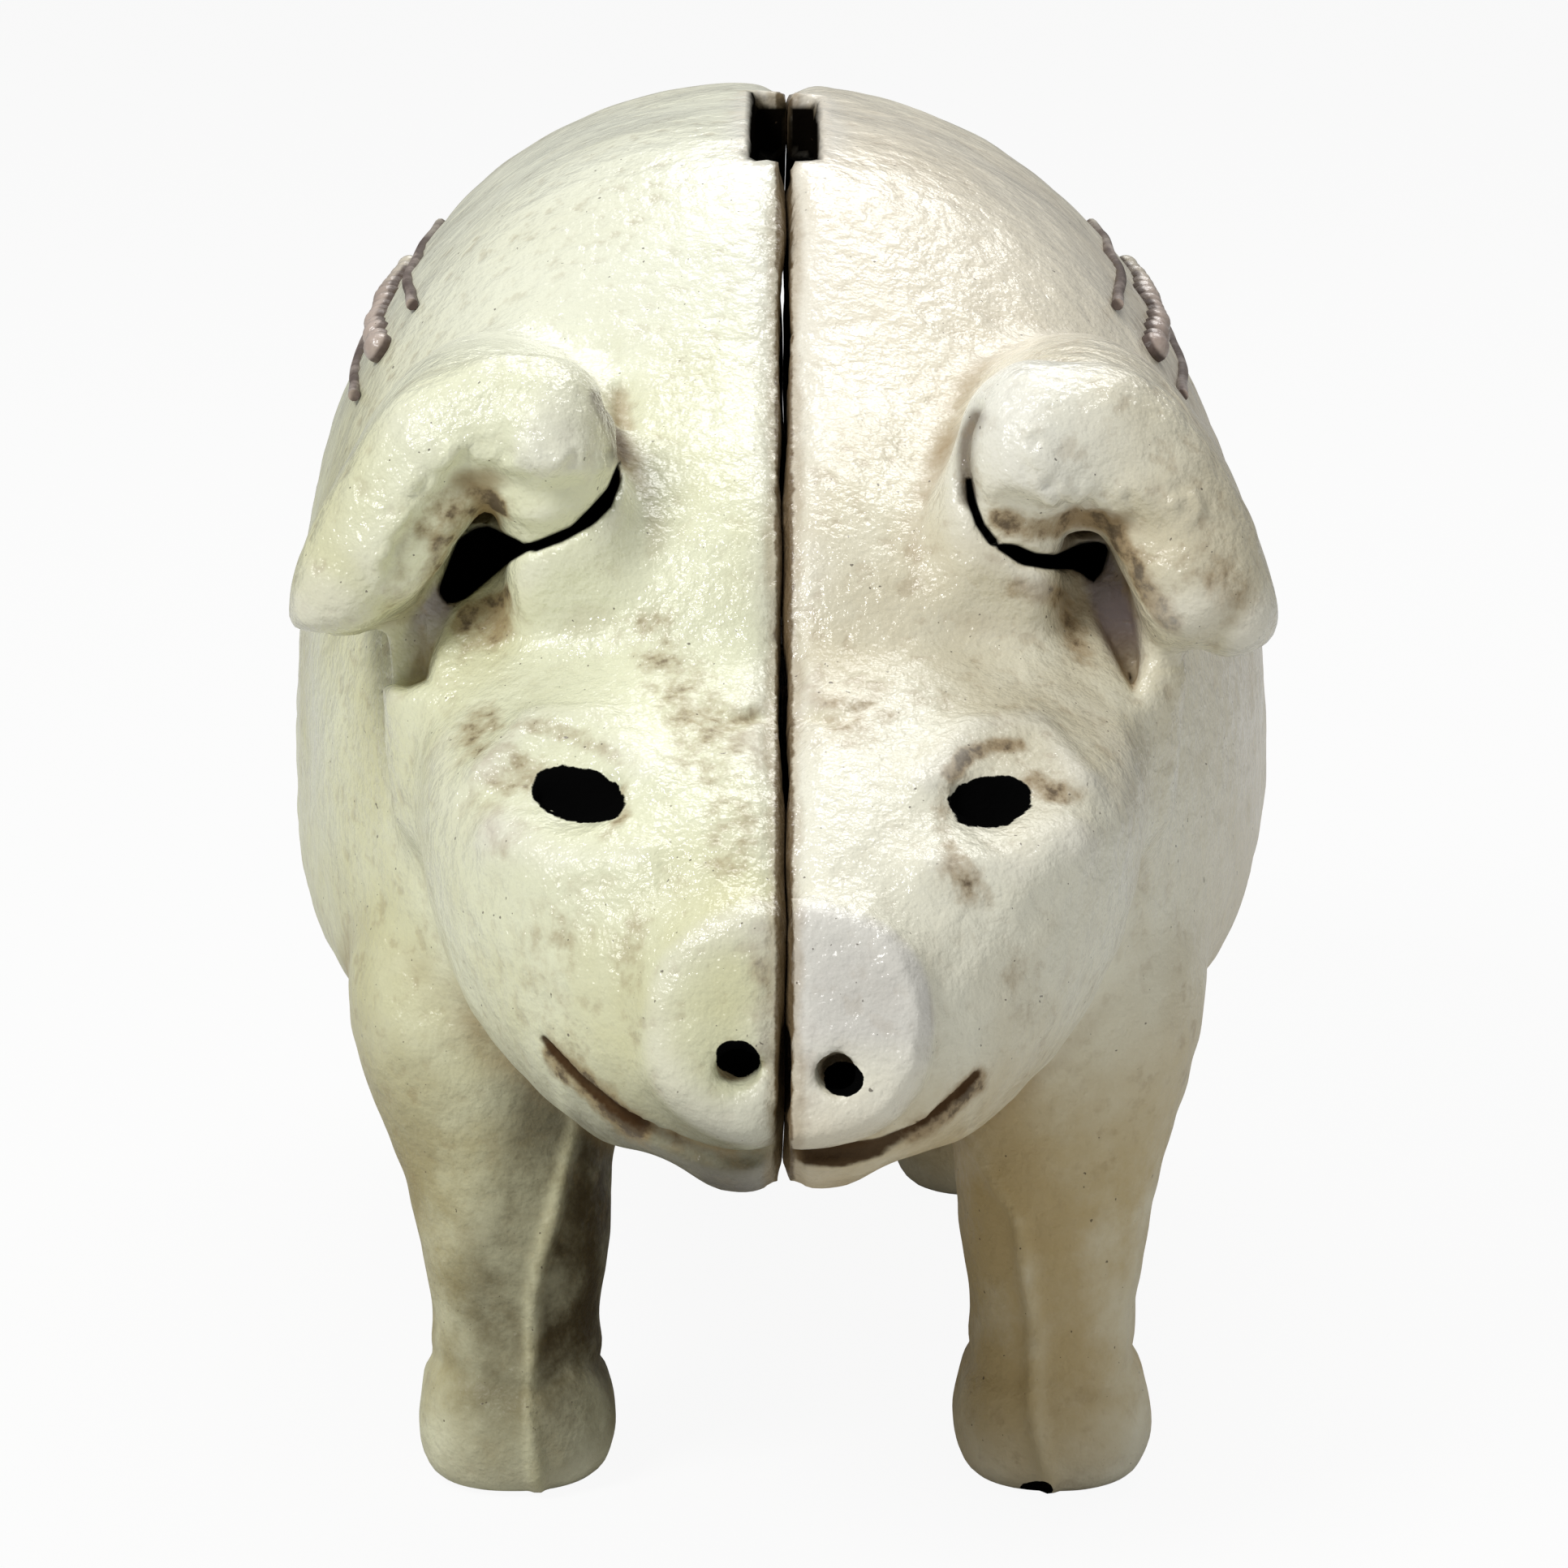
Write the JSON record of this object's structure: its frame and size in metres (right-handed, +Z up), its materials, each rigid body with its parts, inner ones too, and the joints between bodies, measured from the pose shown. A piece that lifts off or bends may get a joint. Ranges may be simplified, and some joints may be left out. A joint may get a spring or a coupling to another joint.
{
  "type": "cast iron still bank",
  "caption": "Small painted cast iron money bank in the form of a standing pig: hollow half castings with a coin slot in the back, clamped by a slotted screw.",
  "frame": {"origin": "on the floor under the middle of the pig's bounding box", "axes": "+Z up, -Y the way the snout points, +X the pig's left side"},
  "size_m": [0.0482, 0.1082, 0.0604],
  "materials": {
    "painted_iron": "aged cream paint over rough cast iron, satin",
    "screw_steel": "darkened plain steel"
  },
  "bodies": {
    "right_casting": {"right_half": "painted_iron"},
    "left_casting": {"left_half": "painted_iron"},
    "screw": {"clamp_screw": "screw_steel"}
  },
  "joints": [
    {"name": "left_half_off", "type": "slide", "parent": "right_casting", "child": "left_casting", "axis": [1, 0, 0], "range_m": [0, 0.011]},
    {"name": "screw_turn", "type": "hinge", "parent": "left_casting", "child": "screw", "pos_m": [0, 0.004, 0.027], "axis": [1, 0, 0], "range_deg": [0, 5000]}
  ],
  "couplings": [
    {"joint": "screw_turn", "follows": "left_half_off", "rad_per_m": 7918}
  ]
}
